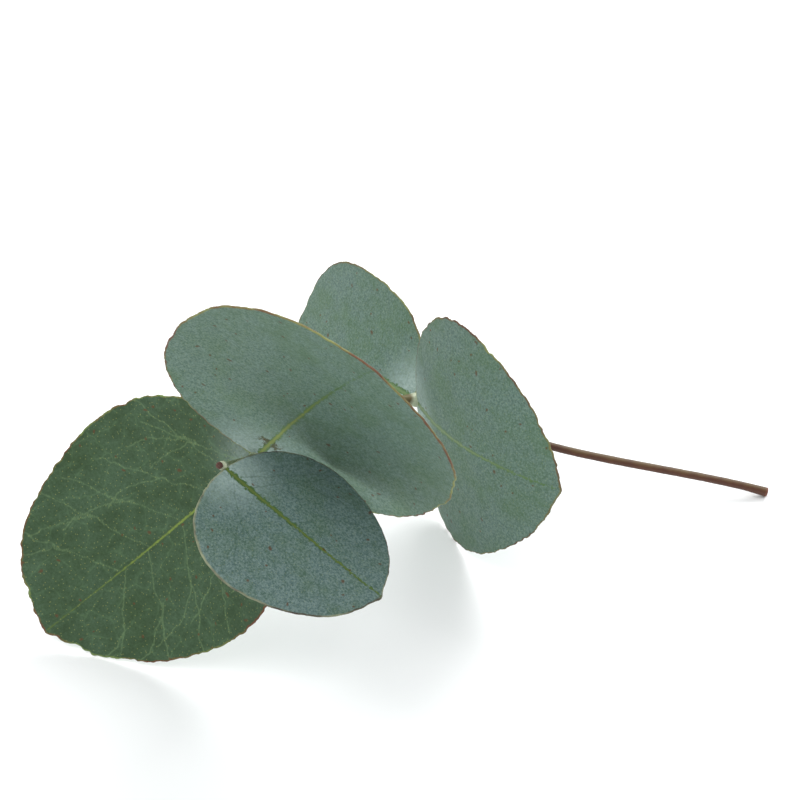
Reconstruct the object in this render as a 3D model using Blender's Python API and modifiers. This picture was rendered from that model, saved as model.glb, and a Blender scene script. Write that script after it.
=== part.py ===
"""A short cut branch of silver-dollar eucalyptus, lying on a flat surface.

The stem runs up from its cut end to its tip and carries its stalkless round leaves at three
joints, in crossed pairs. The last joint has lost one leaf of its pair, and a dried bud ends it.
Units are metres, +Z is up, and the surface is at Z = 0.
"""
import math

import bmesh
import bpy
from mathutils import Euler, Vector

MM = 0.001

# The surface's origin, seen from the cut end of the stem: under the middle of the branch.
CENTRE_FROM_CUT_END = Vector((-73.5, -22.6, 0.0)) * MM

# Stem: half thickness at each joint, and how high above the surface the joints stand.
CUT_END_RADIUS = 1.05 * MM
LOWER_RADIUS = 0.88 * MM
MIDDLE_RADIUS = 0.72 * MM
TIP_RADIUS = 0.50 * MM
FLARE_LENGTH = 5.0 * MM
CUT_END = Vector((0.0, 0.0, 1.0)) * MM
LAST_STRAIGHT = Vector((-45.0, 2.9, 11.1)) * MM
LOWER_JOINT = Vector((-71.0, 4.5, 21.5)) * MM
MIDDLE_JOINT = Vector((-100.7, -40.0, 44.5)) * MM
TIP_JOINT = Vector((-105.6, -57.1, 57.1)) * MM
JOINT_BEND = 0.30
STEM_SIDES_LEVEL = 3
STEM_STEPS = 6

# Leaves and bud.
BLADE_THICKNESS = 0.40 * MM
CLEARANCE = 0.30 * MM
BLADE_GRID = 15
BUD_LENGTH = 1.7 * MM
BUD_WIDTH = 1.3 * MM
BUD_LEAN = 0.2 * MM
BUD_SEGMENTS = 16
BUD_RINGS = 10


def clear_scene():
    for old in list(bpy.data.objects):
        bpy.data.objects.remove(old, do_unlink=True)


def plain_material(name, colour, roughness):
    material = bpy.data.materials.new(name)
    material.use_nodes = True
    shader = material.node_tree.nodes["Principled BSDF"]
    shader.inputs["Base Color"].default_value = (*colour, 1.0)
    shader.inputs["Roughness"].default_value = roughness
    shader.inputs["Metallic"].default_value = 0.0
    return material


def add_to_branch(piece, collection, origin, material):
    """Put a piece in the branch's collection, under its origin, with its own material."""
    for other in list(piece.users_collection):
        other.objects.unlink(piece)
    collection.objects.link(piece)
    piece.parent = origin
    piece.data.materials.append(material)
    return piece


def make_stem():
    """One tube through the joints, thickest at the cut end, with a slight bend at each joint."""
    stops = [
        (CUT_END, CUT_END_RADIUS),
        (CUT_END + (LOWER_JOINT - CUT_END).normalized() * FLARE_LENGTH, LOWER_RADIUS),
        (LAST_STRAIGHT, LOWER_RADIUS),
        (LOWER_JOINT, LOWER_RADIUS),
        (MIDDLE_JOINT, MIDDLE_RADIUS),
        (TIP_JOINT, TIP_RADIUS),
    ]
    curve = bpy.data.curves.new("stem", "CURVE")
    curve.dimensions = "3D"
    curve.bevel_depth = LOWER_RADIUS
    curve.bevel_resolution = STEM_SIDES_LEVEL
    curve.resolution_u = STEM_STEPS
    curve.use_fill_caps = True
    spline = curve.splines.new("BEZIER")
    spline.bezier_points.add(len(stops) - 1)
    last = len(stops) - 1
    for index, (place, radius) in enumerate(stops):
        point = spline.bezier_points[index]
        before = stops[max(index - 1, 0)][0]
        after = stops[min(index + 1, last)][0]
        along = (after - place).normalized() + (place - before).normalized()
        along.normalize()
        point.co = place
        point.radius = radius / LOWER_RADIUS
        point.handle_left_type = "FREE"
        point.handle_right_type = "FREE"
        point.handle_left = place - along * (place - before).length * JOINT_BEND
        point.handle_right = place + along * (after - place).length * JOINT_BEND
    return bpy.data.objects.new("stem", curve)


def make_leaf(name, joint, joint_radius, heading, rise, roll, length, width,
              tip_lift, edge_lift, twist, base_fullness, shoulder):
    """A round blade, its base just clear of the stem at a joint.

    heading is the compass direction of the midrib, rise its slope and roll the blade's turn
    about it, all in degrees. Sizes are in millimetres: tip_lift is how far the tip curls
    towards the upper face, edge_lift how far both sides cup, and twist how far one side of
    the tip is turned up. base_fullness and shoulder widen the blade near its base and tip.
    """
    blade = bmesh.new()
    bmesh.ops.create_grid(blade, x_segments=BLADE_GRID, y_segments=BLADE_GRID, size=1.0)
    start = joint_radius + CLEARANCE + 0.5 * BLADE_THICKNESS
    reach = length * MM - start
    half_width = 0.5 * width * MM
    for vert in blade.verts:
        across = vert.co.x * math.sqrt(1.0 - 0.5 * vert.co.y ** 2)
        baseward = vert.co.y * math.sqrt(1.0 - 0.5 * vert.co.x ** 2)
        fullness = 1.0 + base_fullness * baseward + shoulder * (2.0 * baseward ** 2 - 1.0)
        side = across * fullness
        along = (start + reach * 0.5 * (1.0 - baseward)) / (length * MM)
        lift = edge_lift * side ** 2 + tip_lift * along ** 2 + twist * side * along
        vert.co = (half_width * side, along * length * MM, lift * MM)
    bmesh.ops.recalc_face_normals(blade, faces=blade.faces)
    mesh = bpy.data.meshes.new(name)
    blade.to_mesh(mesh)
    blade.free()
    mesh.shade_smooth()
    leaf = bpy.data.objects.new(name, mesh)
    leaf.rotation_mode = "YXZ"
    turn = (math.radians(rise), math.radians(roll), math.radians(heading - 90.0))
    leaf.rotation_euler = Euler(turn, "YXZ")
    leaf.location = joint
    skin = leaf.modifiers.new("thickness", "SOLIDIFY")
    skin.thickness = BLADE_THICKNESS
    skin.offset = 0.0
    skin.use_even_offset = True
    return leaf


def make_bud(name, last_leaf):
    """The dried bud past the end of the stem, an egg shape leaning away from the last leaf."""
    along = (TIP_JOINT - MIDDLE_JOINT).normalized()
    midrib = last_leaf.rotation_euler.to_matrix().col[1]
    shape = bmesh.new()
    bmesh.ops.create_uvsphere(shape, u_segments=BUD_SEGMENTS, v_segments=BUD_RINGS, radius=0.5)
    for vert in shape.verts:
        vert.co = (vert.co.x * BUD_WIDTH, vert.co.y * BUD_WIDTH, vert.co.z * BUD_LENGTH)
    mesh = bpy.data.meshes.new(name)
    shape.to_mesh(mesh)
    shape.free()
    mesh.shade_smooth()
    bud = bpy.data.objects.new(name, mesh)
    bud.rotation_mode = "QUATERNION"
    bud.rotation_quaternion = along.to_track_quat("Z", "Y")
    bud.location = TIP_JOINT + along * (CLEARANCE + 0.5 * BUD_LENGTH) - midrib * BUD_LEAN
    return bud


clear_scene()
branch = bpy.data.collections.new("eucalyptus_branch")
bpy.context.scene.collection.children.link(branch)
origin = bpy.data.objects.new("branch_origin", None)
origin.location = -CENTRE_FROM_CUT_END
branch.objects.link(origin)

bark = plain_material("bark", (0.16, 0.07, 0.035), 0.62)
green_blade = plain_material("green_blade", (0.065, 0.125, 0.060), 0.50)
waxy_blade = plain_material("waxy_blade", (0.130, 0.215, 0.165), 0.60)
blue_blade = plain_material("blue_blade", (0.090, 0.155, 0.135), 0.60)
dried_bud = plain_material("dried_bud", (0.060, 0.030, 0.025), 0.80)

add_to_branch(make_stem(), branch, origin, bark)

leaf_back = make_leaf(
    "leaf_back", LOWER_JOINT, LOWER_RADIUS,
    heading=135.0, rise=-3.0, roll=-56.0, length=41.0,
    width=41.1, tip_lift=-8.0, edge_lift=2.0, twist=2.8, base_fullness=-0.06, shoulder=0.10)
add_to_branch(leaf_back, branch, origin, waxy_blade.copy())

leaf_side = make_leaf(
    "leaf_side", LOWER_JOINT, LOWER_RADIUS,
    heading=-75.0, rise=10.7, roll=91.5, length=43.3,
    width=48.5, tip_lift=-16.1, edge_lift=-1.5, twist=3.9, base_fullness=0.27, shoulder=0.01)
add_to_branch(leaf_side, branch, origin, waxy_blade.copy())

leaf_down = make_leaf(
    "leaf_down", MIDDLE_JOINT, MIDDLE_RADIUS,
    heading=155.5, rise=-54.1, roll=-68.0, length=55.1,
    width=50.2, tip_lift=20.1, edge_lift=2.0, twist=4.1, base_fullness=0.12, shoulder=0.03)
add_to_branch(leaf_down, branch, origin, green_blade)

leaf_up = make_leaf(
    "leaf_up", MIDDLE_JOINT, MIDDLE_RADIUS,
    heading=-31.5, rise=56.0, roll=106.0, length=54.5,
    width=61.0, tip_lift=13.2, edge_lift=4.0, twist=4.2, base_fullness=0.03, shoulder=0.08)
add_to_branch(leaf_up, branch, origin, waxy_blade)

leaf_tip = make_leaf(
    "leaf_tip", TIP_JOINT, TIP_RADIUS,
    heading=-36.0, rise=-22.0, roll=-11.0, length=36.0,
    width=39.8, tip_lift=-0.8, edge_lift=-1.5, twist=-1.2, base_fullness=0.18, shoulder=0.03)
add_to_branch(leaf_tip, branch, origin, blue_blade)

add_to_branch(make_bud("bud", leaf_tip), branch, origin, dried_bud)
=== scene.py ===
"""A short cut branch of silver-dollar eucalyptus, lying on a white table."""
import math

import bpy
from mathutils import Euler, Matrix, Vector


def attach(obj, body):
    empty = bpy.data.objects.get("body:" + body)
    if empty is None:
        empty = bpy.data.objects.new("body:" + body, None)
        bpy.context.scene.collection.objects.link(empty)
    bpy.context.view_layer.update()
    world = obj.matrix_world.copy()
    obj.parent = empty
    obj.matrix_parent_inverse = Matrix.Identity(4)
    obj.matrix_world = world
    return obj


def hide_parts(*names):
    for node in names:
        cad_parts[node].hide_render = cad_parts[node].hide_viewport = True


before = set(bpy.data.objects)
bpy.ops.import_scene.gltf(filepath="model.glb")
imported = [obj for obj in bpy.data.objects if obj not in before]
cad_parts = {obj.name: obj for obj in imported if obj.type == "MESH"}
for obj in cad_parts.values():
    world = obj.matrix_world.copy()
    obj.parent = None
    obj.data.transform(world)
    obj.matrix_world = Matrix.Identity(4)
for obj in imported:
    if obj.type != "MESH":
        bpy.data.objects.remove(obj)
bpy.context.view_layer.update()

MM = 0.001


# --- Table, light and camera -------------------------------------------------------------
# A white table top that runs on as the backdrop, under a large soft light and a bright white
# room. None of it is part of the branch.
def linear(hex_colour):
    """An sRGB hex colour as linear red, green, blue and a full alpha."""
    values = [int(hex_colour[i:i + 2], 16) / 255 for i in (1, 3, 5)]
    curve = [v / 12.92 if v <= 0.04045 else ((v + 0.055) / 1.055) ** 2.4 for v in values]
    return (*curve, 1.0)


def put(tree, kind, inputs=None, out=0, **settings):
    """Add a node, set it up, fill its inputs with values or links, and give back an output."""
    node = tree.nodes.new(kind)
    for name, value in settings.items():
        setattr(node, name, value)
    for key, value in (inputs or {}).items():
        if isinstance(value, bpy.types.NodeSocket):
            tree.links.new(value, node.inputs[key])
        else:
            node.inputs[key].default_value = value
    return node.outputs[out] if len(node.outputs) else node


def empty_material(name):
    """A new material with its Principled shader and its tree."""
    material = bpy.data.materials.new(name)
    material.use_nodes = True
    tree = material.node_tree
    return material, tree, tree.nodes["Principled BSDF"]


TABLE_SIZE = 6.0
bpy.ops.mesh.primitive_plane_add(size=TABLE_SIZE)
table = bpy.context.active_object
table.name = "table"
table_paint, table_tree, table_shader = empty_material("white matt board")
table_shader.inputs["Base Color"].default_value = linear("#F5F6F6")
table_shader.inputs["Roughness"].default_value = 0.75
table.data.materials.append(table_paint)

world = bpy.data.worlds.new("bright white room")
world.use_nodes = True
world.node_tree.nodes["Background"].inputs["Color"].default_value = linear("#F8FAFB")
world.node_tree.nodes["Background"].inputs["Strength"].default_value = 0.60
bpy.context.scene.world = world

for name, place, size, power in (
        ("window behind", (0.35, 0.75, 0.85), 0.8, 12.5),
        ("soft box above", (-0.30, -0.25, 1.00), 0.9, 7.0)):
    lamp = bpy.data.lights.new(name, "AREA")
    lamp.size = size
    lamp.energy = power
    lamp_object = bpy.data.objects.new(name, lamp)
    lamp_object.location = place
    lamp_object.rotation_euler = Vector(place).to_track_quat("Z", "Y").to_euler()
    bpy.context.scene.collection.objects.link(lamp_object)

VIEW_POINT = Vector((-0.8, -13.6, 54.9)) * MM
VIEW_DISTANCE = 545.5 * MM
VIEW_PITCH = math.radians(39.4)
camera = bpy.data.cameras.new("camera")
camera.sensor_width = 36.0
camera.lens = 135.0
camera.clip_start = 0.01
camera_object = bpy.data.objects.new("camera", camera)
backwards = Vector((0.0, -math.cos(VIEW_PITCH), math.sin(VIEW_PITCH)))
camera_object.location = VIEW_POINT + backwards * VIEW_DISTANCE
camera_object.rotation_euler = (math.radians(90.0) - VIEW_PITCH, 0.0, 0.0)
bpy.context.scene.collection.objects.link(camera_object)
bpy.context.scene.camera = camera_object
bpy.context.scene.view_settings.view_transform = "Standard"

# --- Stem --------------------------------------------------------------------------------
# A thin side shoot of soft green wood under a red-brown skin, swollen at each leaf joint and
# cut square at its thick end. It grew as one piece.
CUT_END_FROM_CENTRE = Vector((73.5, 22.6, 0.0)) * MM
STEM_STOPS = {
    "cut end": (Vector((0.0, 0.0, 1.0)), 1.00),
    "past the flare": (Vector((-4.8, 0.3, 2.4)), 0.86),
    "last straight": (Vector((-45.0, 2.9, 11.1)), 0.84),
    "lower joint": (Vector((-71.0, 4.5, 21.5)), 0.86),
    "middle joint": (Vector((-100.7, -40.0, 44.5)), 0.72),
    "tip joint": (Vector((-105.6, -57.1, 57.1)), 0.50),
}
STEM_BEND = 0.30
YOUNG_END = (0.074, 0.084)
CUT_DEPTH = (0.0006, 0.0002)


def joint(name):
    """Where a stop on the stem is, in the branch's own frame."""
    return CUT_END_FROM_CENTRE + STEM_STOPS[name][0] * MM


def new_tree(name, **sizes):
    """A geometry tree with a Geometry input and output and named number inputs."""
    tree = bpy.data.node_groups.new(name, "GeometryNodeTree")
    tree.interface.new_socket("Geometry", in_out="INPUT", socket_type="NodeSocketGeometry")
    tree.interface.new_socket("Geometry", in_out="OUTPUT", socket_type="NodeSocketGeometry")
    for label, kind in sizes.items():
        socket_name = label.replace("_", " ").capitalize()
        tree.interface.new_socket(socket_name, in_out="INPUT", socket_type="NodeSocket" + kind)
    source = tree.nodes.new("NodeGroupInput")
    return tree, source.outputs


def made_by(tree, base, name, values, matrix=None):
    """Run a geometry tree on an object and give back its result as one plain mesh object."""
    bpy.context.scene.collection.objects.link(base)
    modifier = base.modifiers.new("shape", "NODES")
    modifier.node_group = tree
    for item in tree.interface.items_tree:
        if item.in_out == "INPUT" and item.name in values:
            modifier[item.identifier] = values[item.name]
    depsgraph = bpy.context.evaluated_depsgraph_get()
    mesh = bpy.data.meshes.new_from_object(base.evaluated_get(depsgraph))
    mesh.name = name
    if matrix is not None:
        mesh.transform(matrix)
    bpy.data.objects.remove(base)
    piece = bpy.data.objects.new(name, mesh)
    bpy.context.scene.collection.objects.link(piece)
    return piece


def stem_line():
    """The stem's middle line, a Bezier curve through its stops."""
    curve = bpy.data.curves.new("stem line", "CURVE")
    curve.dimensions = "3D"
    curve.resolution_u = 24
    spline = curve.splines.new("BEZIER")
    stops = [(joint(name), STEM_STOPS[name][1]) for name in STEM_STOPS]
    spline.bezier_points.add(len(stops) - 1)
    last = len(stops) - 1
    for index, (place, radius) in enumerate(stops):
        point = spline.bezier_points[index]
        before = stops[max(index - 1, 0)][0]
        after = stops[min(index + 1, last)][0]
        along = ((after - place).normalized() + (place - before).normalized()).normalized()
        point.co = place
        point.radius = radius * MM
        point.handle_left_type = "FREE"
        point.handle_right_type = "FREE"
        point.handle_left = place - along * (place - before).length * STEM_BEND
        point.handle_right = place + along * (after - place).length * STEM_BEND
    return bpy.data.objects.new("stem line", curve)


def stem_tree():
    """Sweep a round section along the line, swell it at the joints and roughen its skin."""
    tree, given = new_tree(
        "stem from its line", joint_swelling="Float", swelling_length="Float",
        lower_joint="Vector", middle_joint="Vector", tip_joint="Vector",
        skin_roughness="Float", seed="Float", skin="Material")
    line = put(tree, "GeometryNodeResampleCurve", {"Curve": given["Geometry"], "Count": 900})
    radius = put(tree, "GeometryNodeInputRadius")
    place = put(tree, "GeometryNodeInputPosition")
    swell = 0.0
    for name in ("Lower joint", "Middle joint", "Tip joint"):
        away = put(tree, "ShaderNodeVectorMath", {0: place, 1: given[name]}, out="Value",
                   operation="DISTANCE")
        steps = put(tree, "ShaderNodeMath", {0: away, 1: given["Swelling length"]},
                    operation="DIVIDE")
        squared = put(tree, "ShaderNodeMath", {0: steps, 1: 2.0}, operation="POWER")
        fall = put(tree, "ShaderNodeMath", {0: squared, 1: -1.0}, operation="MULTIPLY")
        bump = put(tree, "ShaderNodeMath", {0: fall}, operation="EXPONENT")
        swell = put(tree, "ShaderNodeMath", {0: bump, 1: swell}, operation="ADD")
    factor = put(tree, "ShaderNodeMath",
                 {0: swell, 1: given["Joint swelling"], 2: 1.0}, operation="MULTIPLY_ADD")
    wide = put(tree, "ShaderNodeMath", {0: radius, 1: factor}, operation="MULTIPLY")
    along = put(tree, "GeometryNodeSplineParameter", out="Length")
    line = put(tree, "GeometryNodeStoreNamedAttribute",
               {"Geometry": line, "Name": "along", "Value": along},
               data_type="FLOAT", domain="POINT")
    line = put(tree, "GeometryNodeStoreNamedAttribute",
               {"Geometry": line, "Name": "joint", "Value": swell},
               data_type="FLOAT", domain="POINT")
    ring = put(tree, "GeometryNodeCurvePrimitiveCircle", {"Resolution": 36, "Radius": 1.0})
    line = put(tree, "GeometryNodeSetCurveRadius", {"Curve": line, "Radius": wide})
    tube = put(tree, "GeometryNodeCurveToMesh",
               {"Curve": line, "Profile Curve": ring, "Fill Caps": True})
    if "Scale" in tube.node.inputs:
        tree.links.new(put(tree, "GeometryNodeInputRadius"), tube.node.inputs["Scale"])
    normal = put(tree, "GeometryNodeInputNormal")
    spot = put(tree, "GeometryNodeInputPosition")
    coarse = put(tree, "ShaderNodeTexNoise", {"Vector": spot, "W": given["Seed"],
                 "Scale": 420.0, "Detail": 3.0, "Roughness": 0.6}, noise_dimensions="4D")
    dent = put(tree, "ShaderNodeMath", {0: coarse, 1: 0.75}, operation="SUBTRACT")
    height = put(tree, "ShaderNodeMath", {0: dent, 1: given["Skin roughness"]},
                 operation="MULTIPLY")
    push = put(tree, "ShaderNodeVectorMath", {0: normal, "Scale": height}, operation="SCALE")
    tube = put(tree, "GeometryNodeSetPosition", {"Geometry": tube, "Offset": push})
    tube = put(tree, "GeometryNodeSetShadeSmooth", {"Geometry": tube})
    tube = put(tree, "GeometryNodeRealizeInstances", {"Geometry": tube})
    tube = put(tree, "GeometryNodeSetMaterial", {"Geometry": tube, "Material": given["Skin"]})
    put(tree, "NodeGroupOutput", {"Geometry": tube})
    return tree


bark, bark_tree, bark_shader = empty_material("red-brown shoot skin")
along = put(bark_tree, "ShaderNodeAttribute", out="Fac", attribute_name="along")
skin_spot = put(bark_tree, "ShaderNodeTexCoord", out="Object")
blotches = put(bark_tree, "ShaderNodeTexNoise", {"Vector": skin_spot, "Scale": 260.0,
               "Detail": 5.0, "Roughness": 0.65})
red = put(bark_tree, "ShaderNodeMix", {"Factor": blotches, 6: linear("#2A120A"),
          7: linear("#653618")}, out=2, data_type="RGBA")
facing = put(bark_tree, "ShaderNodeNewGeometry", out="Normal")
facing = put(bark_tree, "ShaderNodeSeparateXYZ", {0: facing}, out="Z")
sunlit = put(bark_tree, "ShaderNodeMath", {0: blotches, 1: 1.6, 2: facing},
             operation="MULTIPLY_ADD")
sunlit = put(bark_tree, "ShaderNodeMapRange", {"Value": sunlit, "From Min": 1.35,
             "From Max": 1.95, "To Max": 0.60})
skin_colour = put(bark_tree, "ShaderNodeMix", {"Factor": sunlit, 6: red,
                  7: linear("#5D5023")}, out=2, data_type="RGBA")
# Past the lower joint the shoot is still green, and white wax lies thick at the joints.
young_end = put(bark_tree, "ShaderNodeMapRange", {"Value": along, "From Min": YOUNG_END[0],
                "From Max": YOUNG_END[1]})
skin_colour = put(bark_tree, "ShaderNodeMix", {"Factor": young_end, 6: skin_colour,
                  7: linear("#77805A")}, out=2, data_type="RGBA")
near_joint = put(bark_tree, "ShaderNodeAttribute", out="Fac", attribute_name="joint")
wax_here = put(bark_tree, "ShaderNodeMath", {0: blotches, 1: 0.9, 2: near_joint},
               operation="MULTIPLY_ADD")
wax_here = put(bark_tree, "ShaderNodeMapRange", {"Value": wax_here, "From Min": 0.74,
               "From Max": 1.10, "To Max": 0.9})
skin_colour = put(bark_tree, "ShaderNodeMix", {"Factor": wax_here, 6: skin_colour,
                  7: linear("#B4BDA2")}, out=2, data_type="RGBA")
at_cut = put(bark_tree, "ShaderNodeMapRange", {"Value": along, "From Min": CUT_DEPTH[0],
             "From Max": CUT_DEPTH[1]})
skin_colour = put(bark_tree, "ShaderNodeMix", {"Factor": at_cut, 6: skin_colour,
                  7: linear("#6B3B2A")}, out=2, data_type="RGBA")
bark_tree.links.new(skin_colour, bark_shader.inputs["Base Color"])
bark_shader.inputs["Roughness"].default_value = 0.55
bark_bump = put(bark_tree, "ShaderNodeBump", {"Strength": 0.5, "Distance": 0.12 * MM,
                "Height": blotches})
bark_tree.links.new(bark_bump, bark_shader.inputs["Normal"])

stem = made_by(stem_tree(), stem_line(), "stem_skin", {
    "Joint swelling": 0.75, "Swelling length": 1.9 * MM,
    "Lower joint": joint("lower joint"), "Middle joint": joint("middle joint"),
    "Tip joint": joint("tip joint"), "Skin roughness": 0.16 * MM, "Seed": 3.0, "Skin": bark})
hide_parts("stem")
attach(stem, "root")

# --- Leaf blades: what all five share ------------------------------------------------------
# Stalkless round juvenile blades, leathery and a third of a millimetre thick, under a coat of
# pale wax. Each grew as one piece and joins the stem at its base, in the fork of its pair.
BLADE_THICKNESS = 0.34
BLADE_GRID = 190
VEINED_PART = 0.80
VEIN_JITTER = 2.4
VEIN_TURN = 0.24
VEIN_SWAY = 3.6


def blade_tree():
    """Bend a flat slab into a round blade, notch its margin and raise its veins.

    The slab's own left-right and length directions become the blade's, in millimetres. Side
    veins are arcs set along the midrib, and each point keeps its distance to the nearest one.
    """
    tree, given = new_tree(
        "round blade", length="Float", width="Float", start="Float", tip_lift="Float",
        edge_lift="Float", twist="Float", base_fullness="Float", shoulder="Float",
        thickness="Float", notch_depth="Float", waviness="Float", tip_point="Float",
        rib_sweep="Float", vein_pairs="Int", vein_reach="Float", rib_height="Float",
        seed="Float",
        skin="Material")
    half_width = put(tree, "ShaderNodeMath", {0: given["Width"], 1: 0.5},
                     operation="MULTIPLY")
    reach = put(tree, "ShaderNodeMath", {0: given["Length"], 1: given["Start"]},
                operation="SUBTRACT")

    # Round outline from the square grid, with both ends widened by fullness and shoulder.
    slab = put(tree, "GeometryNodeMeshCube", {
        "Size": (2.0, 2.0, 2.0), "Vertices X": BLADE_GRID, "Vertices Y": BLADE_GRID,
        "Vertices Z": 3})
    corner = put(tree, "GeometryNodeInputPosition")
    apart = put(tree, "ShaderNodeSeparateXYZ", {0: corner}, out="X").node.outputs
    discs = []
    for own, other in ((apart["X"], apart["Y"]), (apart["Y"], apart["X"])):
        squared = put(tree, "ShaderNodeMath", {0: other, 1: other}, operation="MULTIPLY")
        rest = put(tree, "ShaderNodeMath", {0: squared, 1: -0.5, 2: 1.0},
                   operation="MULTIPLY_ADD")
        root = put(tree, "ShaderNodeMath", {0: rest}, operation="SQRT")
        discs.append(put(tree, "ShaderNodeMath", {0: own, 1: root}, operation="MULTIPLY"))
    across, baseward = discs
    disc = put(tree, "ShaderNodeCombineXYZ", {"X": across, "Y": baseward})
    from_middle = put(tree, "ShaderNodeVectorMath", {0: disc}, out="Value",
                      operation="LENGTH")
    squared = put(tree, "ShaderNodeMath", {0: baseward, 1: baseward}, operation="MULTIPLY")
    twice = put(tree, "ShaderNodeMath", {0: squared, 1: 2.0, 2: -1.0},
                operation="MULTIPLY_ADD")
    fuller = put(tree, "ShaderNodeMath", {0: baseward, 1: given["Base fullness"], 2: 1.0},
                 operation="MULTIPLY_ADD")
    fuller = put(tree, "ShaderNodeMath", {0: twice, 1: given["Shoulder"], 2: fuller},
                 operation="MULTIPLY_ADD")
    side = put(tree, "ShaderNodeMath", {0: across, 1: fuller}, operation="MULTIPLY")
    x = put(tree, "ShaderNodeMath", {0: side, 1: half_width}, operation="MULTIPLY")
    down = put(tree, "ShaderNodeMath", {0: baseward, 1: -0.5, 2: 0.5},
               operation="MULTIPLY_ADD")
    y = put(tree, "ShaderNodeMath", {0: down, 1: reach, 2: given["Start"]},
            operation="MULTIPLY_ADD")

    # Margin: shallow uneven notches, and a rim rounded over the thickness.
    flat = put(tree, "ShaderNodeCombineXYZ", {"X": x, "Y": y})
    fine = put(tree, "ShaderNodeTexNoise", {"Vector": flat, "W": given["Seed"],
               "Scale": 0.55, "Detail": 2.0}, noise_dimensions="4D")
    broad = put(tree, "ShaderNodeTexNoise", {"Vector": flat, "W": given["Seed"],
                "Scale": 0.14, "Detail": 2.0}, noise_dimensions="4D")
    fine_cut = put(tree, "ShaderNodeMapRange", {"Value": fine, "From Min": 0.42,
                   "From Max": 0.66, "To Min": 0.0, "To Max": 0.45}, clamp=True)
    broad_cut = put(tree, "ShaderNodeMapRange", {"Value": broad, "From Min": 0.45,
                    "From Max": 0.75, "To Min": 0.0, "To Max": 1.0}, clamp=True)
    cut = put(tree, "ShaderNodeMath", {0: fine_cut, 1: broad_cut}, operation="ADD")
    cut = put(tree, "ShaderNodeMath", {0: cut, 1: given["Notch depth"]},
              operation="MULTIPLY")
    at_rim = put(tree, "ShaderNodeMapRange", {"Value": from_middle, "From Min": 0.90,
                 "From Max": 1.0}, interpolation_type="SMOOTHSTEP")
    cut = put(tree, "ShaderNodeMath", {0: cut, 1: at_rim}, operation="MULTIPLY")
    face = put(tree, "ShaderNodeMath", {0: apart["Z"]}, operation="ABSOLUTE")
    very_rim = put(tree, "ShaderNodeMapRange", {"Value": from_middle, "From Min": 0.985,
                   "From Max": 1.0, "To Max": 0.10})
    rounding = put(tree, "ShaderNodeMath", {0: very_rim, 1: face}, operation="MULTIPLY")
    cut = put(tree, "ShaderNodeMath", {0: cut, 1: rounding}, operation="ADD")
    shrink = put(tree, "ShaderNodeMath", {0: cut, 1: half_width}, operation="DIVIDE")
    keep = put(tree, "ShaderNodeMath", {0: 1.0, 1: shrink}, operation="SUBTRACT")
    x = put(tree, "ShaderNodeMath", {0: x, 1: keep}, operation="MULTIPLY")
    middle_y = put(tree, "ShaderNodeMath", {0: reach, 1: 0.5, 2: given["Start"]},
                   operation="MULTIPLY_ADD")
    past = put(tree, "ShaderNodeMath", {0: y, 1: middle_y}, operation="SUBTRACT")
    y = put(tree, "ShaderNodeMath", {0: past, 1: keep, 2: middle_y},
            operation="MULTIPLY_ADD")

    # The tip runs out into a short point.
    tipward = put(tree, "ShaderNodeMapRange", {"Value": baseward, "From Min": -0.90,
                  "From Max": -1.0})
    swept = put(tree, "ShaderNodeMath", {0: given["Rib sweep"], 1: half_width},
                operation="DIVIDE")
    beside = put(tree, "ShaderNodeMath", {0: across, 1: swept}, operation="SUBTRACT")
    beside = put(tree, "ShaderNodeMath", {0: beside, 1: beside}, operation="MULTIPLY")
    beside = put(tree, "ShaderNodeMath", {0: beside, 1: -90.0}, operation="MULTIPLY")
    narrow = put(tree, "ShaderNodeMath", {0: beside}, operation="EXPONENT")
    point = put(tree, "ShaderNodeMath", {0: tipward, 1: narrow}, operation="MULTIPLY")
    y = put(tree, "ShaderNodeMath", {0: point, 1: given["Tip point"], 2: y},
            operation="MULTIPLY_ADD")
    flat = put(tree, "ShaderNodeCombineXYZ", {"X": x, "Y": y})

    # Side veins: crooked arcs that leave the midrib to either hand, each with one fork. The
    # midrib itself swings aside on its way to the tip, and takes the veins with it.
    spread = put(tree, "ShaderNodeMath", {0: reach, 1: VEINED_PART}, operation="MULTIPLY")
    steps = put(tree, "ShaderNodeMath", {0: spread, 1: given["Vein pairs"]},
                operation="DIVIDE")
    first = put(tree, "ShaderNodeMath", {0: given["Start"], 1: 0.8}, operation="ADD")
    start_point = put(tree, "ShaderNodeCombineXYZ", {"Y": first})
    offset = put(tree, "ShaderNodeCombineXYZ", {"Y": steps})
    joined = tree.nodes.new("GeometryNodeJoinGeometry")
    for hand in (1.0, -1.0):
        stations = put(tree, "GeometryNodeMeshLine", {"Count": given["Vein pairs"],
                       "Start Location": start_point, "Offset": offset})
        jitter = put(tree, "FunctionNodeRandomValue", {"Min": (0.0, -VEIN_JITTER, 0.0),
                     "Max": (0.0, VEIN_JITTER, 0.0), "Seed": int(5 + hand)},
                     data_type="FLOAT_VECTOR")
        stations = put(tree, "GeometryNodeSetPosition", {"Geometry": stations,
                       "Offset": jitter})
        turn = put(tree, "FunctionNodeRandomValue", {2: -VEIN_TURN, 3: VEIN_TURN,
                   "Seed": int(11 + hand)}, out=1, data_type="FLOAT")
        turn = put(tree, "ShaderNodeCombineXYZ", {"Z": turn})
        size = put(tree, "ShaderNodeMath", {0: half_width, 1: given["Vein reach"]},
                   operation="MULTIPLY")
        size = put(tree, "ShaderNodeCombineXYZ", {"X": size, "Y": size, "Z": size})
        for begin, bend, end in (
                ((0.0, 0.0, 0.0), (0.42, 0.30, 0.0), (0.84, 0.50, 0.0)),
                ((0.36, 0.22, 0.0), (0.55, 0.44, 0.0), (0.56, 0.74, 0.0))):
            begin, bend, end = [(hand * x1, y1, z1) for x1, y1, z1 in (begin, bend, end)]
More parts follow.
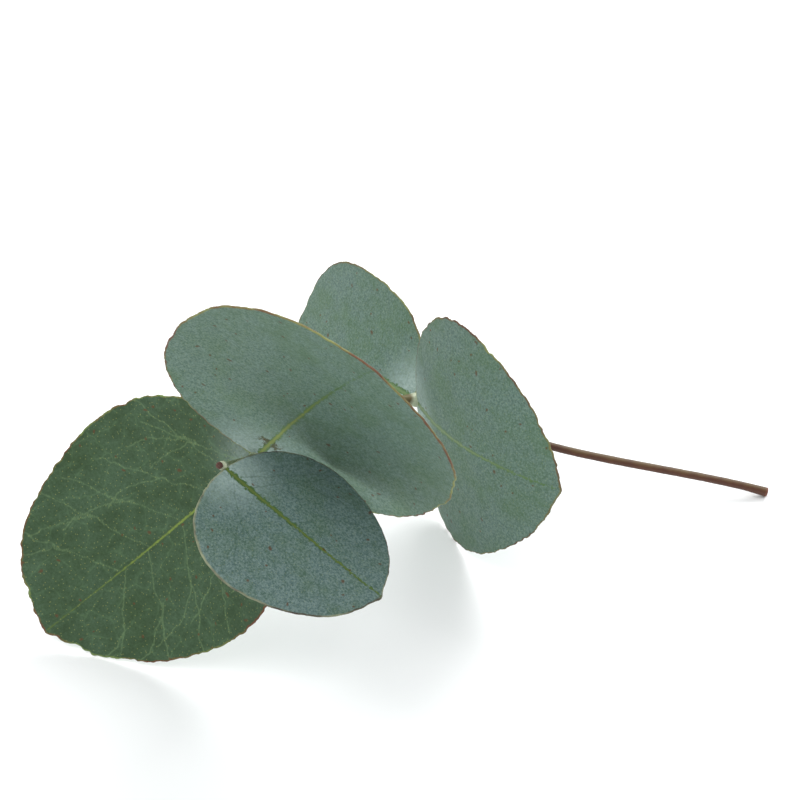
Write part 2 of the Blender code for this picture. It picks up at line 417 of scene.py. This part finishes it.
            arc = put(tree, "GeometryNodeCurveQuadraticBezier", {
                "Resolution": 24, "Start": begin, "Middle": bend, "End": end})
            arc_set = put(tree, "GeometryNodeInstanceOnPoints", {"Points": stations,
                          "Instance": arc, "Rotation": turn, "Scale": size})
            arc_set = put(tree, "GeometryNodeRealizeInstances", {"Geometry": arc_set})
            tree.links.new(arc_set, joined.inputs[0])
    veins = put(tree, "GeometryNodeResampleCurve", {"Curve": joined.outputs[0],
                "Count": 40})
    vein_spot = put(tree, "GeometryNodeInputPosition")
    sway = put(tree, "ShaderNodeTexNoise", {"Vector": vein_spot, "W": given["Seed"],
               "Scale": 0.26, "Detail": 4.0, "Roughness": 0.62}, out="Color",
               noise_dimensions="4D")
    sway = put(tree, "ShaderNodeVectorMath", {0: sway, 1: (0.5, 0.5, 0.5)},
               operation="SUBTRACT")
    sway = put(tree, "ShaderNodeVectorMath", {0: sway, 1: (VEIN_SWAY, VEIN_SWAY, 0.0)},
               operation="MULTIPLY")
    off_rib = put(tree, "ShaderNodeSeparateXYZ", {0: vein_spot}, out="X")
    off_rib = put(tree, "ShaderNodeMath", {0: off_rib}, operation="ABSOLUTE")
    loose = put(tree, "ShaderNodeMapRange", {"Value": off_rib, "From Max": 6.0})
    sway = put(tree, "ShaderNodeVectorMath", {0: sway, "Scale": loose}, operation="SCALE")
    veins = put(tree, "GeometryNodeSetPosition", {"Geometry": veins, "Offset": sway})
    vein_lines = put(tree, "GeometryNodeCurveToMesh", {"Curve": veins})
    u = put(tree, "ShaderNodeMath", {0: y, 1: given["Length"]}, operation="DIVIDE")
    aside = put(tree, "ShaderNodeMath", {0: u, 1: u}, operation="MULTIPLY")
    aside = put(tree, "ShaderNodeMath", {0: aside, 1: given["Rib sweep"]},
                operation="MULTIPLY")
    rib_x = put(tree, "ShaderNodeMath", {0: x, 1: aside}, operation="SUBTRACT")
    straightened = put(tree, "ShaderNodeCombineXYZ", {"X": rib_x, "Y": y})
    vein_gap = put(tree, "GeometryNodeProximity", {"Geometry": vein_lines,
                   "Sample Position": straightened}, out="Distance",
                   target_element="EDGES")

    # Height over the flat blade, with its slopes, so thickness goes square to the surface.
    s = put(tree, "ShaderNodeMath", {0: x, 1: half_width}, operation="DIVIDE")
    terms = []
    for first, second, amount in ((s, s, "Edge lift"), (u, u, "Tip lift"), (s, u, "Twist")):
        product = put(tree, "ShaderNodeMath", {0: first, 1: second}, operation="MULTIPLY")
        terms.append(put(tree, "ShaderNodeMath", {0: product, 1: given[amount]},
                         operation="MULTIPLY"))
    z = put(tree, "ShaderNodeMath", {0: terms[0], 1: terms[1]}, operation="ADD")
    z = put(tree, "ShaderNodeMath", {0: z, 1: terms[2]}, operation="ADD")
    slopes = []
    for own, other, amount, over in ((s, u, "Edge lift", half_width),
                                     (u, s, "Tip lift", given["Length"])):
        bend = put(tree, "ShaderNodeMath", {0: own, 1: given[amount]},
                   operation="MULTIPLY")
        shear = put(tree, "ShaderNodeMath", {0: other, 1: given["Twist"]},
                    operation="MULTIPLY")
        total = put(tree, "ShaderNodeMath", {0: bend, 1: 2.0, 2: shear},
                    operation="MULTIPLY_ADD")
        total = put(tree, "ShaderNodeMath", {0: total, 1: over}, operation="DIVIDE")
        slopes.append(put(tree, "ShaderNodeMath", {0: total, 1: -1.0},
                          operation="MULTIPLY"))
    square = put(tree, "ShaderNodeCombineXYZ", {"X": slopes[0], "Y": slopes[1], "Z": 1.0})
    square = put(tree, "ShaderNodeVectorMath", {0: square}, operation="NORMALIZE")

    # Gentle waves, a groove over each vein above, and raised ribs below.
    wave = put(tree, "ShaderNodeTexNoise", {"Vector": flat, "W": given["Seed"],
               "Scale": 0.075, "Detail": 2.0}, noise_dimensions="4D")
    wave = put(tree, "ShaderNodeMath", {0: wave, 1: 0.5}, operation="SUBTRACT")
    wave = put(tree, "ShaderNodeMath", {0: wave, 1: given["Waviness"]},
               operation="MULTIPLY")
    inner = put(tree, "ShaderNodeMapRange", {"Value": from_middle, "From Min": 0.75,
                "From Max": 1.0, "To Min": 1.0, "To Max": 0.12})
    wave = put(tree, "ShaderNodeMath", {0: wave, 1: inner}, operation="MULTIPLY")
    rib_width = put(tree, "ShaderNodeMapRange", {"Value": u, "From Max": 1.0,
                    "To Min": 0.75, "To Max": 0.15})
    beside_rib = put(tree, "ShaderNodeMath", {0: rib_x, 1: rib_width}, operation="DIVIDE")
    beside_vein = put(tree, "ShaderNodeMath", {0: vein_gap, 1: 0.38}, operation="DIVIDE")
    ridges = []
    for distance, height in ((beside_rib, 1.0), (beside_vein, 0.34)):
        fall = put(tree, "ShaderNodeMath", {0: distance, 1: distance},
                   operation="MULTIPLY")
        fall = put(tree, "ShaderNodeMath", {0: fall, 1: -1.0}, operation="MULTIPLY")
        fall = put(tree, "ShaderNodeMath", {0: fall}, operation="EXPONENT")
        ridges.append(put(tree, "ShaderNodeMath", {0: fall, 1: height},
                          operation="MULTIPLY"))
    ridge = put(tree, "ShaderNodeMath", {0: ridges[0], 1: ridges[1]}, operation="MAXIMUM")
    fading = put(tree, "ShaderNodeMapRange", {"Value": from_middle, "From Min": 0.80,
                 "From Max": 0.97, "To Min": 1.0, "To Max": 0.0})
    ridge = put(tree, "ShaderNodeMath", {0: ridge, 1: fading}, operation="MULTIPLY")
    relief = put(tree, "ShaderNodeMapRange", {"Value": apart["Z"], "From Min": -1.0,
                 "From Max": 1.0, "To Min": given["Rib height"], "To Max": -0.045})
    relief = put(tree, "ShaderNodeMath", {0: ridge, 1: relief}, operation="MULTIPLY")
    half = put(tree, "ShaderNodeMath", {0: given["Thickness"], 1: 0.5},
               operation="MULTIPLY")
    half = put(tree, "ShaderNodeMath", {0: half, 1: relief}, operation="ADD")
    thick = put(tree, "ShaderNodeMath", {0: half, 1: apart["Z"], 2: wave},
                operation="MULTIPLY_ADD")
    shift = put(tree, "ShaderNodeVectorMath", {0: square, "Scale": thick},
                operation="SCALE")
    bent = put(tree, "ShaderNodeCombineXYZ", {"X": x, "Y": y, "Z": z})
    place = put(tree, "ShaderNodeVectorMath", {0: bent, 1: shift}, operation="ADD")
    place = put(tree, "ShaderNodeVectorMath", {0: place, "Scale": MM}, operation="SCALE")

    # What the finish needs to know at each point: place on the blade, veins and rim.
    rim_gap = put(tree, "ShaderNodeMath", {0: 1.0, 1: from_middle}, operation="SUBTRACT")
    rim_gap = put(tree, "ShaderNodeMath", {0: rim_gap, 1: half_width},
                  operation="MULTIPLY")
    chart = put(tree, "ShaderNodeCombineXYZ", {"X": x, "Y": y, "Z": apart["Z"]})
    slab = put(tree, "GeometryNodeStoreNamedAttribute", {"Geometry": slab,
               "Name": "blade", "Value": chart}, data_type="FLOAT_VECTOR", domain="POINT")
    for label, value in (("vein", vein_gap), ("rim", rim_gap), ("rib", rib_x)):
        slab = put(tree, "GeometryNodeStoreNamedAttribute", {"Geometry": slab,
                   "Name": label, "Value": value}, data_type="FLOAT", domain="POINT")
    slab = put(tree, "GeometryNodeSetPosition", {"Geometry": slab, "Position": place})
    slab = put(tree, "GeometryNodeSetShadeSmooth", {"Geometry": slab})
    slab = put(tree, "GeometryNodeRealizeInstances", {"Geometry": slab})
    slab = put(tree, "GeometryNodeSetMaterial", {"Geometry": slab,
               "Material": given["Skin"]})
    put(tree, "NodeGroupOutput", {"Geometry": slab})
    return tree


BLADE_TREE = blade_tree()


def blade_material(name, tissue, wax, rib, net, rim, cover, bloom, veins, netting, rib_end,
                   streaks, under, corky=0.0):
    """A waxy leaf: living tissue, and a coat of white wax that hides and cools its green.

    tissue, wax, net and rim are pairs of colours and rib is one. cover is how much of the
    face the wax hides, bloom how white it lies near the base, veins and netting how strongly
    the side veins and the fine net show. rib_end is where along the blade the pale midrib
    fades out, streaks how strongly the wax is streaked across it, under the colours of the
    lower face, and corky how much brown cork lies to either side of the midrib's foot.
    """
    material, tree, shader = empty_material(name)
    chart = put(tree, "ShaderNodeAttribute", out="Vector", attribute_name="blade")
    vein_gap = put(tree, "ShaderNodeAttribute", out="Fac", attribute_name="vein")
    rim_gap = put(tree, "ShaderNodeAttribute", out="Fac", attribute_name="rim")
    spot = put(tree, "ShaderNodeSeparateXYZ", {0: chart}, out="X").node.outputs
    from_rib = put(tree, "ShaderNodeAttribute", out="Fac", attribute_name="rib")
    from_rib = put(tree, "ShaderNodeMath", {0: from_rib}, operation="ABSOLUTE")

    # Noises, each at a size in millimetres on the blade.
    patches = put(tree, "ShaderNodeTexNoise", {"Vector": chart, "Scale": 0.11,
                  "Detail": 5.0, "Roughness": 0.55})
    clouds = put(tree, "ShaderNodeTexNoise", {"Vector": chart, "Scale": 0.45,
                 "Detail": 4.0, "Roughness": 0.6})
    grains = put(tree, "ShaderNodeTexNoise", {"Vector": chart, "Scale": 2.6,
                 "Detail": 3.0, "Roughness": 0.7})
    ragged = put(tree, "ShaderNodeTexNoise", {"Vector": chart, "Scale": 1.1,
                 "Detail": 4.0, "Roughness": 0.75})
    ragged = put(tree, "ShaderNodeMath", {0: ragged, 1: 0.5}, operation="SUBTRACT")

    # Tissue and the wax over it.
    green = put(tree, "ShaderNodeMix", {"Factor": clouds, 6: linear(tissue[0]),
                7: linear(tissue[1])}, out=2, data_type="RGBA")
    dusty = put(tree, "ShaderNodeMapRange", {"Value": grains, "From Min": 0.36,
                "From Max": 0.64})
    coat = put(tree, "ShaderNodeMix", {"Factor": dusty, 6: linear(wax[0]),
               7: linear(wax[1])}, out=2, data_type="RGBA")
    uneven = put(tree, "ShaderNodeMath", {0: patches, 1: 0.55}, operation="MULTIPLY")
    uneven = put(tree, "ShaderNodeMath", {0: clouds, 1: 0.30, 2: uneven},
                 operation="MULTIPLY_ADD")
    uneven = put(tree, "ShaderNodeMath", {0: grains, 1: 0.25, 2: uneven},
                 operation="MULTIPLY_ADD")
    covered = put(tree, "ShaderNodeMapRange", {"Value": uneven, "From Min": 0.43,
                  "From Max": 0.67, "To Min": cover - 0.28, "To Max": cover + 0.28})
    face = put(tree, "ShaderNodeMix", {"Factor": covered, 6: green, 7: coat}, out=2,
               data_type="RGBA")

    # Fine streaks in the wax that run across the midrib and lean towards the tip.
    slanted = put(tree, "ShaderNodeMapping", {"Vector": chart,
                  "Rotation": (0.0, 0.0, math.radians(14.0)), "Scale": (0.16, 1.9, 0.0)})
    grain_lines = put(tree, "ShaderNodeTexNoise", {"Vector": slanted, "Scale": 1.0,
                      "Detail": 5.0, "Roughness": 0.65})
    streaked = put(tree, "ShaderNodeMapRange", {"Value": grain_lines, "From Min": 0.52,
                   "From Max": 0.68, "To Max": streaks})
    streaked = put(tree, "ShaderNodeMath", {0: streaked, 1: clouds},
                   operation="MULTIPLY")
    face = put(tree, "ShaderNodeMix", {"Factor": streaked, 6: face, 7: green}, out=2,
               data_type="RGBA")

    # White bloom that fades away from the base.
    from_base = put(tree, "ShaderNodeVectorMath", {0: chart, 1: (1.0, 1.0, 0.0)},
                    operation="MULTIPLY")
    from_base = put(tree, "ShaderNodeVectorMath", {0: from_base}, out="Value",
                    operation="LENGTH")
    from_base = put(tree, "ShaderNodeMath", {0: ragged, 1: 7.0, 2: from_base},
                    operation="MULTIPLY_ADD")
    whiter = put(tree, "ShaderNodeMapRange", {"Value": from_base, "From Min": 13.0,
                 "From Max": 1.0, "To Max": bloom}, interpolation_type="SMOOTHSTEP")
    broken = put(tree, "ShaderNodeMapRange", {"Value": ragged, "From Min": -0.12,
                 "From Max": 0.14, "To Min": 0.35})
    whiter = put(tree, "ShaderNodeMath", {0: whiter, 1: broken}, operation="MULTIPLY")
    face = put(tree, "ShaderNodeMix", {"Factor": whiter, 6: face, 7: linear("#B4C6C4")},
               out=2, data_type="RGBA")

    # Fine net of veinlets between the side veins, and the side veins themselves.
    drift = put(tree, "ShaderNodeTexNoise", {"Vector": chart, "Scale": 0.35,
                "Detail": 2.0}, out="Color")
    warped = put(tree, "ShaderNodeVectorMath", {0: drift, 1: (2.6, 2.6, 0.0), 2: chart},
                 operation="MULTIPLY_ADD")
    mesh_lines = []
    for size, width in ((0.21, 0.055), (0.75, 0.11)):
        cells = put(tree, "ShaderNodeTexVoronoi", {"Vector": warped, "Scale": size},
                    feature="DISTANCE_TO_EDGE", voronoi_dimensions="2D")
        mesh_lines.append(put(tree, "ShaderNodeMapRange", {"Value": cells,
                          "From Min": width, "From Max": width * 0.15},
                          interpolation_type="SMOOTHSTEP"))
    small = put(tree, "ShaderNodeMath", {0: mesh_lines[1], 1: 0.35}, operation="MULTIPLY")
    lines = put(tree, "ShaderNodeMath", {0: mesh_lines[0], 1: small}, operation="MAXIMUM")
    patchy = put(tree, "ShaderNodeMapRange", {"Value": clouds, "From Min": 0.40,
                 "From Max": 0.62, "To Min": 0.25, "To Max": 1.0})
    lines = put(tree, "ShaderNodeMath", {0: lines, 1: patchy}, operation="MULTIPLY")
    lines = put(tree, "ShaderNodeMath", {0: lines, 1: netting}, operation="MULTIPLY")
    face = put(tree, "ShaderNodeMix", {"Factor": lines, 6: face, 7: linear(net[0])},
               out=2, data_type="RGBA")
    frayed = put(tree, "ShaderNodeMath", {0: ragged, 1: 0.40, 2: vein_gap},
                 operation="MULTIPLY_ADD")
    side_vein = put(tree, "ShaderNodeMapRange", {"Value": frayed, "From Min": 0.22,
                    "From Max": 0.04, "To Max": veins}, interpolation_type="SMOOTHSTEP")
    face = put(tree, "ShaderNodeMix", {"Factor": side_vein, 6: face,
               7: linear(net[1])}, out=2, data_type="RGBA")

    # Midrib: bare tissue with a ragged edge, and the pale rib that narrows to the tip.
    tipward = put(tree, "ShaderNodeMapRange", {"Value": spot["Y"], "From Min": 0.0,
                  "From Max": 48.0})
    bare_width = put(tree, "ShaderNodeMapRange", {"Value": tipward, "To Min": 0.70,
                     "To Max": 0.0})
    rib_width = put(tree, "ShaderNodeMapRange", {"Value": tipward, "To Min": 0.30,
                    "To Max": 0.05})
    frayed = put(tree, "ShaderNodeMath", {0: ragged, 1: 2.6, 2: from_rib},
                 operation="MULTIPLY_ADD")
    bare = put(tree, "ShaderNodeMath", {0: frayed, 1: bare_width}, operation="SUBTRACT")
    bare = put(tree, "ShaderNodeMapRange", {"Value": bare, "From Min": 0.12,
               "From Max": -0.12})
    face = put(tree, "ShaderNodeMix", {"Factor": bare, 6: face, 7: green}, out=2,
               data_type="RGBA")
    frayed = put(tree, "ShaderNodeMath", {0: ragged, 1: 0.7, 2: from_rib},
                 operation="MULTIPLY_ADD")
    on_rib = put(tree, "ShaderNodeMath", {0: frayed, 1: rib_width}, operation="SUBTRACT")
    on_rib = put(tree, "ShaderNodeMapRange", {"Value": on_rib, "From Min": 0.14,
                 "From Max": -0.14})
    fade = put(tree, "ShaderNodeMapRange", {"Value": tipward, "From Min": rib_end * 0.55,
               "From Max": rib_end, "To Min": 0.90, "To Max": 0.0})
    on_rib = put(tree, "ShaderNodeMath", {0: on_rib, 1: fade}, operation="MULTIPLY")
    face = put(tree, "ShaderNodeMix", {"Factor": on_rib, 6: face, 7: linear(rib)},
               out=2, data_type="RGBA")

    # Brown cork in two ragged patches at the midrib's foot.
    off_foot = put(tree, "ShaderNodeVectorMath", {0: chart, 1: (0.0, 6.2, 0.0)},
                   operation="SUBTRACT")
    off_foot = put(tree, "ShaderNodeVectorMath", {0: off_foot, 1: (0.8, 1.5, 0.0)},
                   operation="MULTIPLY")
    off_foot = put(tree, "ShaderNodeVectorMath", {0: off_foot}, out="Value",
                   operation="LENGTH")
    off_foot = put(tree, "ShaderNodeMath", {0: ragged, 1: 6.0, 2: off_foot},
                   operation="MULTIPLY_ADD")
    cork = put(tree, "ShaderNodeMapRange", {"Value": off_foot, "From Min": 1.9,
               "From Max": 1.3, "To Max": corky})
    clear = put(tree, "ShaderNodeMapRange", {"Value": from_rib, "From Min": 0.35,
                "From Max": 0.55})
    cork = put(tree, "ShaderNodeMath", {0: cork, 1: clear}, operation="MULTIPLY")
    face = put(tree, "ShaderNodeMix", {"Factor": cork, 6: face, 7: linear("#4A4A2C")},
               out=2, data_type="RGBA")

    # Lower face: paler, even wax, with the ribs a little yellower.
    below = put(tree, "ShaderNodeMix", {"Factor": grains, 6: linear(under[0]),
                7: linear(under[1])}, out=2, data_type="RGBA")
    low_ribs = put(tree, "ShaderNodeMath", {0: on_rib, 1: side_vein}, operation="MAXIMUM")
    below = put(tree, "ShaderNodeMix", {"Factor": low_ribs, 6: below,
                7: linear("#A9AF7A")}, out=2, data_type="RGBA")
    is_under = put(tree, "ShaderNodeMath", {0: spot["Z"], 1: -0.5}, operation="LESS_THAN")
    face = put(tree, "ShaderNodeMix", {"Factor": is_under, 6: face, 7: below}, out=2,
               data_type="RGBA")

    # Oil glands as pale pin-pricks, and a few corky brown specks.
    dots = put(tree, "ShaderNodeTexVoronoi", {"Vector": chart, "Scale": 0.85},
               voronoi_dimensions="2D")
    gland = put(tree, "ShaderNodeMapRange", {"Value": dots, "From Min": 0.11,
                "From Max": 0.05, "To Max": 0.10 + 0.9 * netting})
    face = put(tree, "ShaderNodeMix", {"Factor": gland, 6: face, 7: linear("#A8AD62")},
               out=2, data_type="RGBA")
    specks = put(tree, "ShaderNodeTexVoronoi", {"Vector": warped, "Scale": 0.33},
                 voronoi_dimensions="2D")
    chance = put(tree, "ShaderNodeSeparateColor", {0: specks.node.outputs["Color"]})
    chosen = put(tree, "ShaderNodeMath", {0: chance, 1: 0.80}, operation="GREATER_THAN")
    speck = put(tree, "ShaderNodeMapRange", {"Value": specks, "From Min": 0.11,
                "From Max": 0.05, "To Max": 0.75})
    speck = put(tree, "ShaderNodeMath", {0: speck, 1: chosen}, operation="MULTIPLY")
    face = put(tree, "ShaderNodeMix", {"Factor": speck, 6: face, 7: linear("#5A3B22")},
               out=2, data_type="RGBA")

    # Margin: a thin dry rim that runs from yellow-green to brown round the blade.
    round_rim = put(tree, "ShaderNodeTexNoise", {"Vector": chart, "Scale": 0.085,
                    "Detail": 4.0, "Roughness": 0.7})
    browned = put(tree, "ShaderNodeMapRange", {"Value": round_rim, "From Min": 0.42,
                  "From Max": 0.58})
    rim_colour = put(tree, "ShaderNodeMix", {"Factor": browned, 6: linear(rim[0]),
                     7: linear(rim[1])}, out=2, data_type="RGBA")
    frayed = put(tree, "ShaderNodeMath", {0: ragged, 1: 0.7, 2: rim_gap},
                 operation="MULTIPLY_ADD")
    on_rim = put(tree, "ShaderNodeMapRange", {"Value": frayed, "From Min": 0.42,
                 "From Max": 0.10, "To Max": 0.9})
    face = put(tree, "ShaderNodeMix", {"Factor": on_rim, 6: face, 7: rim_colour},
               out=2, data_type="RGBA")
    tree.links.new(face, shader.inputs["Base Color"])

    # The wax is dull; bare tissue and ribs shine a little.
    shiny = put(tree, "ShaderNodeMath", {0: on_rib, 1: bare}, operation="MAXIMUM")
    dull = put(tree, "ShaderNodeMapRange", {"Value": shiny, "To Min": 0.62,
               "To Max": 0.42})
    tree.links.new(dull, shader.inputs["Roughness"])
    shader.inputs["Specular IOR Level"].default_value = 0.28
    height = put(tree, "ShaderNodeMath", {0: lines, 1: -0.6, 2: grains},
                 operation="MULTIPLY_ADD")
    height = put(tree, "ShaderNodeMath", {0: clouds, 1: 1.5, 2: height},
                 operation="MULTIPLY_ADD")
    bump = put(tree, "ShaderNodeBump", {"Strength": 0.35, "Distance": 0.10 * MM,
               "Height": height})
    tree.links.new(bump, shader.inputs["Normal"])
    return material


def make_blade(name, joint_name, heading, rise, roll, skin, sizes, node):
    """Grow one blade at a joint of the stem, turn it into place, hide the imported part it
    stands for and attach it to the root body.
    """
    turn = Euler((math.radians(rise), math.radians(roll), math.radians(heading - 90.0)),
                 "YXZ").to_matrix().to_4x4()
    turn.translation = joint(joint_name)
    base = bpy.data.objects.new(name + " base", bpy.data.meshes.new(name + " base"))
    values = {"Thickness": BLADE_THICKNESS, "Skin": skin, **sizes}
    blade = made_by(BLADE_TREE, base, name, values, turn)
    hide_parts(node)
    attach(blade, "root")
    return blade


# --- Leaf hanging down from the middle joint -----------------------------------------------
# The largest leaf, and the greenest: most of its wax is rubbed off, so its net of pale veins
# shows. It hangs from the middle joint and stands on its lower margin.
handled = blade_material(
    "leaf with its wax rubbed off", tissue=("#263B24", "#3C5430"), wax=("#3C5540", "#516A53"),
    rib="#7C9140", net=("#64825A", "#7F9A6A"), rim=("#73874A", "#6E3F2A"),
    cover=0.36, bloom=0.45, veins=0.28, netting=0.26, rib_end=1.25, streaks=0.0,
    under=("#6E8476", "#829687"))
make_blade("leaf_down_blade", "middle joint", 155.5, -54.1, -68.0, handled, {
    "Length": 55.1, "Width": 50.2, "Start": 0.1, "Tip lift": 20.1, "Edge lift": 2.0,
    "Twist": 4.1, "Base fullness": 0.12, "Shoulder": 0.03, "Notch depth": 0.7,
    "Waviness": 1.6, "Tip point": 0.8, "Rib sweep": -2.4, "Vein pairs": 6,
    "Vein reach": 1.0, "Rib height": 0.26, "Seed": 2.0}, "leaf_down")

# --- Leaf standing up from the middle joint ------------------------------------------------
# Its pair, still under a full coat of wax that shows fine streaks across the midrib.
waxed = blade_material(
    "leaf under grey wax", tissue=("#48643F", "#5B7A4C"), wax=("#526B5F", "#778F83"),
    rib="#7F8C48", net=("#587768", "#728B70"), rim=("#868A50", "#6E4430"),
    cover=0.86, bloom=0.80, veins=0.16, netting=0.12, rib_end=0.75, streaks=0.30,
    under=("#6C8479", "#82988E"), corky=0.85)
make_blade("leaf_up_blade", "middle joint", -31.5, 56.0, 106.0, waxed, {
    "Length": 54.5, "Width": 61.0, "Start": 0.1, "Tip lift": 13.2, "Edge lift": 4.0,
    "Twist": 4.2, "Base fullness": 0.03, "Shoulder": 0.08, "Notch depth": 0.6,
    "Waviness": 1.6, "Tip point": 0.8, "Rib sweep": 0.0, "Vein pairs": 6,
    "Vein reach": 1.0, "Rib height": 0.26, "Seed": 5.0}, "leaf_up")

# --- Leaf at the tip -----------------------------------------------------------------------
# The youngest leaf, blue with fresh wax, left alone at the last joint: its pair has fallen.
TIP_LEAF_HEADING = -36.0
TIP_LEAF_RISE = -22.0
TIP_LEAF_ROLL = -11.0
young = blade_material(
    "young leaf under blue wax", tissue=("#3A5634", "#55703C"), wax=("#4B6360", "#768B87"),
    rib="#65743A", net=("#34504A", "#3B5644"), rim=("#93987A", "#3C2A22"),
    cover=0.90, bloom=0.80, veins=0.34, netting=0.10, rib_end=0.95, streaks=0.12,
    under=("#688080", "#7E9595"))
make_blade("leaf_tip_blade", "tip joint", TIP_LEAF_HEADING, TIP_LEAF_RISE,
           TIP_LEAF_ROLL, young, {
    "Length": 36.0, "Width": 39.8, "Start": 0.6, "Tip lift": -0.8, "Edge lift": -1.5,
    "Twist": -1.2, "Base fullness": 0.18, "Shoulder": 0.03, "Notch depth": 0.3,
    "Waviness": 1.0, "Tip point": 0.8, "Rib sweep": -2.0, "Vein pairs": 4,
    "Vein reach": 1.0, "Rib height": 0.22, "Seed": 9.0}, "leaf_tip")

# --- Leaves of the lower joint -------------------------------------------------------------
# The older pair, one leaning back and one standing on its margin, both under grey wax.
older = blade_material(
    "older leaf under grey wax", tissue=("#46633C", "#58784A"), wax=("#4F665D", "#70877D"),
    rib="#71875A", net=("#587768", "#6C8A6C"), rim=("#7C7F4C", "#5E3B28"),
    cover=0.80, bloom=0.85, veins=0.12, netting=0.12, rib_end=0.9, streaks=0.2,
    under=("#6C8479", "#82988E"))
make_blade("leaf_back_blade", "lower joint", 135.0, -3.0, -56.0, older, {
    "Length": 41.0, "Width": 41.1, "Start": 0.4, "Tip lift": -8.0, "Edge lift": 2.0,
    "Twist": 2.8, "Base fullness": -0.06, "Shoulder": 0.10, "Notch depth": 0.4,
    "Waviness": 1.2, "Tip point": 0.8, "Rib sweep": 0.0, "Vein pairs": 5,
    "Vein reach": 1.0, "Rib height": 0.24, "Seed": 14.0}, "leaf_back")
make_blade("leaf_side_blade", "lower joint", -75.0, 10.7, 91.5, older, {
    "Length": 43.3, "Width": 48.5, "Start": 0.4, "Tip lift": -16.1, "Edge lift": -1.5,
    "Twist": 3.9, "Base fullness": 0.27, "Shoulder": 0.01, "Notch depth": 0.7,
    "Waviness": 1.2, "Tip point": 0.8, "Rib sweep": 0.0, "Vein pairs": 5,
    "Vein reach": 1.0, "Rib height": 0.24, "Seed": 20.0}, "leaf_side")

# --- Bud -----------------------------------------------------------------------------------
# The dried end bud: a brown knob of shrivelled scales no bigger than a pinhead.
BUD_LENGTH = 1.62
BUD_WIDTH = 1.22
BUD_GAP = 1.15
BUD_LEAN = 0.2


def bud_tree():
    """An egg covered in small hard granules scattered over its surface."""
    tree, given = new_tree("granular bud", length="Float", width="Float",
                           granules="Float", seed="Int", skin="Material")
    egg = put(tree, "GeometryNodeMeshUVSphere", {"Segments": 48, "Rings": 32,
              "Radius": 0.42 * MM})
    shape = put(tree, "ShaderNodeCombineXYZ", {"X": given["Width"], "Y": given["Width"],
                "Z": given["Length"]})
    egg = put(tree, "GeometryNodeTransform", {"Geometry": egg, "Scale": shape})
    spots = put(tree, "GeometryNodeDistributePointsOnFaces", {"Mesh": egg,
                "Distance Min": 0.13 * MM, "Density Max": 9.0e7, "Seed": given["Seed"]},
                distribute_method="POISSON")
    grain = put(tree, "GeometryNodeMeshIcoSphere", {"Radius": given["Granules"],
                "Subdivisions": 2})
    size = put(tree, "FunctionNodeRandomValue", {2: 0.7, 3: 1.25, "Seed": 4}, out=1,
               data_type="FLOAT")
    grains = put(tree, "GeometryNodeInstanceOnPoints", {"Points": spots,
                 "Instance": grain, "Scale": size})
    joined = tree.nodes.new("GeometryNodeJoinGeometry")
    for part in (egg, grains):
        tree.links.new(part, joined.inputs[0])
    whole = put(tree, "GeometryNodeSetShadeSmooth", {"Geometry": joined.outputs[0]})
    whole = put(tree, "GeometryNodeRealizeInstances", {"Geometry": whole})
    whole = put(tree, "GeometryNodeSetMaterial", {"Geometry": whole,
                "Material": given["Skin"]})
    put(tree, "NodeGroupOutput", {"Geometry": whole})
    return tree


dried, dried_tree, dried_shader = empty_material("dried bud scales")
bud_spot = put(dried_tree, "ShaderNodeTexCoord", out="Object")
mottle = put(dried_tree, "ShaderNodeTexNoise", {"Vector": bud_spot, "Scale": 5200.0,
             "Detail": 4.0, "Roughness": 0.7})
bud_colour = put(dried_tree, "ShaderNodeMix", {"Factor": mottle, 6: linear("#2B1713"),
                 7: linear("#7A5348")}, out=2, data_type="RGBA")
dried_tree.links.new(bud_colour, dried_shader.inputs["Base Color"])
dried_shader.inputs["Roughness"].default_value = 0.72

bud_axis = (joint("tip joint") - joint("middle joint")).normalized()
midrib = Euler((math.radians(TIP_LEAF_RISE), math.radians(TIP_LEAF_ROLL),
                math.radians(TIP_LEAF_HEADING - 90.0)), "YXZ").to_matrix().col[1]
bud_place = bud_axis.to_track_quat("Z", "Y").to_matrix().to_4x4()
bud_place.translation = (joint("tip joint") + bud_axis * BUD_GAP * MM
                         - midrib * BUD_LEAN * MM)
bud_base = bpy.data.objects.new("bud base", bpy.data.meshes.new("bud base"))
bud = made_by(bud_tree(), bud_base, "bud_knob", {
    "Length": BUD_LENGTH, "Width": BUD_WIDTH, "Granules": 0.13 * MM, "Seed": 3,
    "Skin": dried}, bud_place)
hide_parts("bud")
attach(bud, "root")
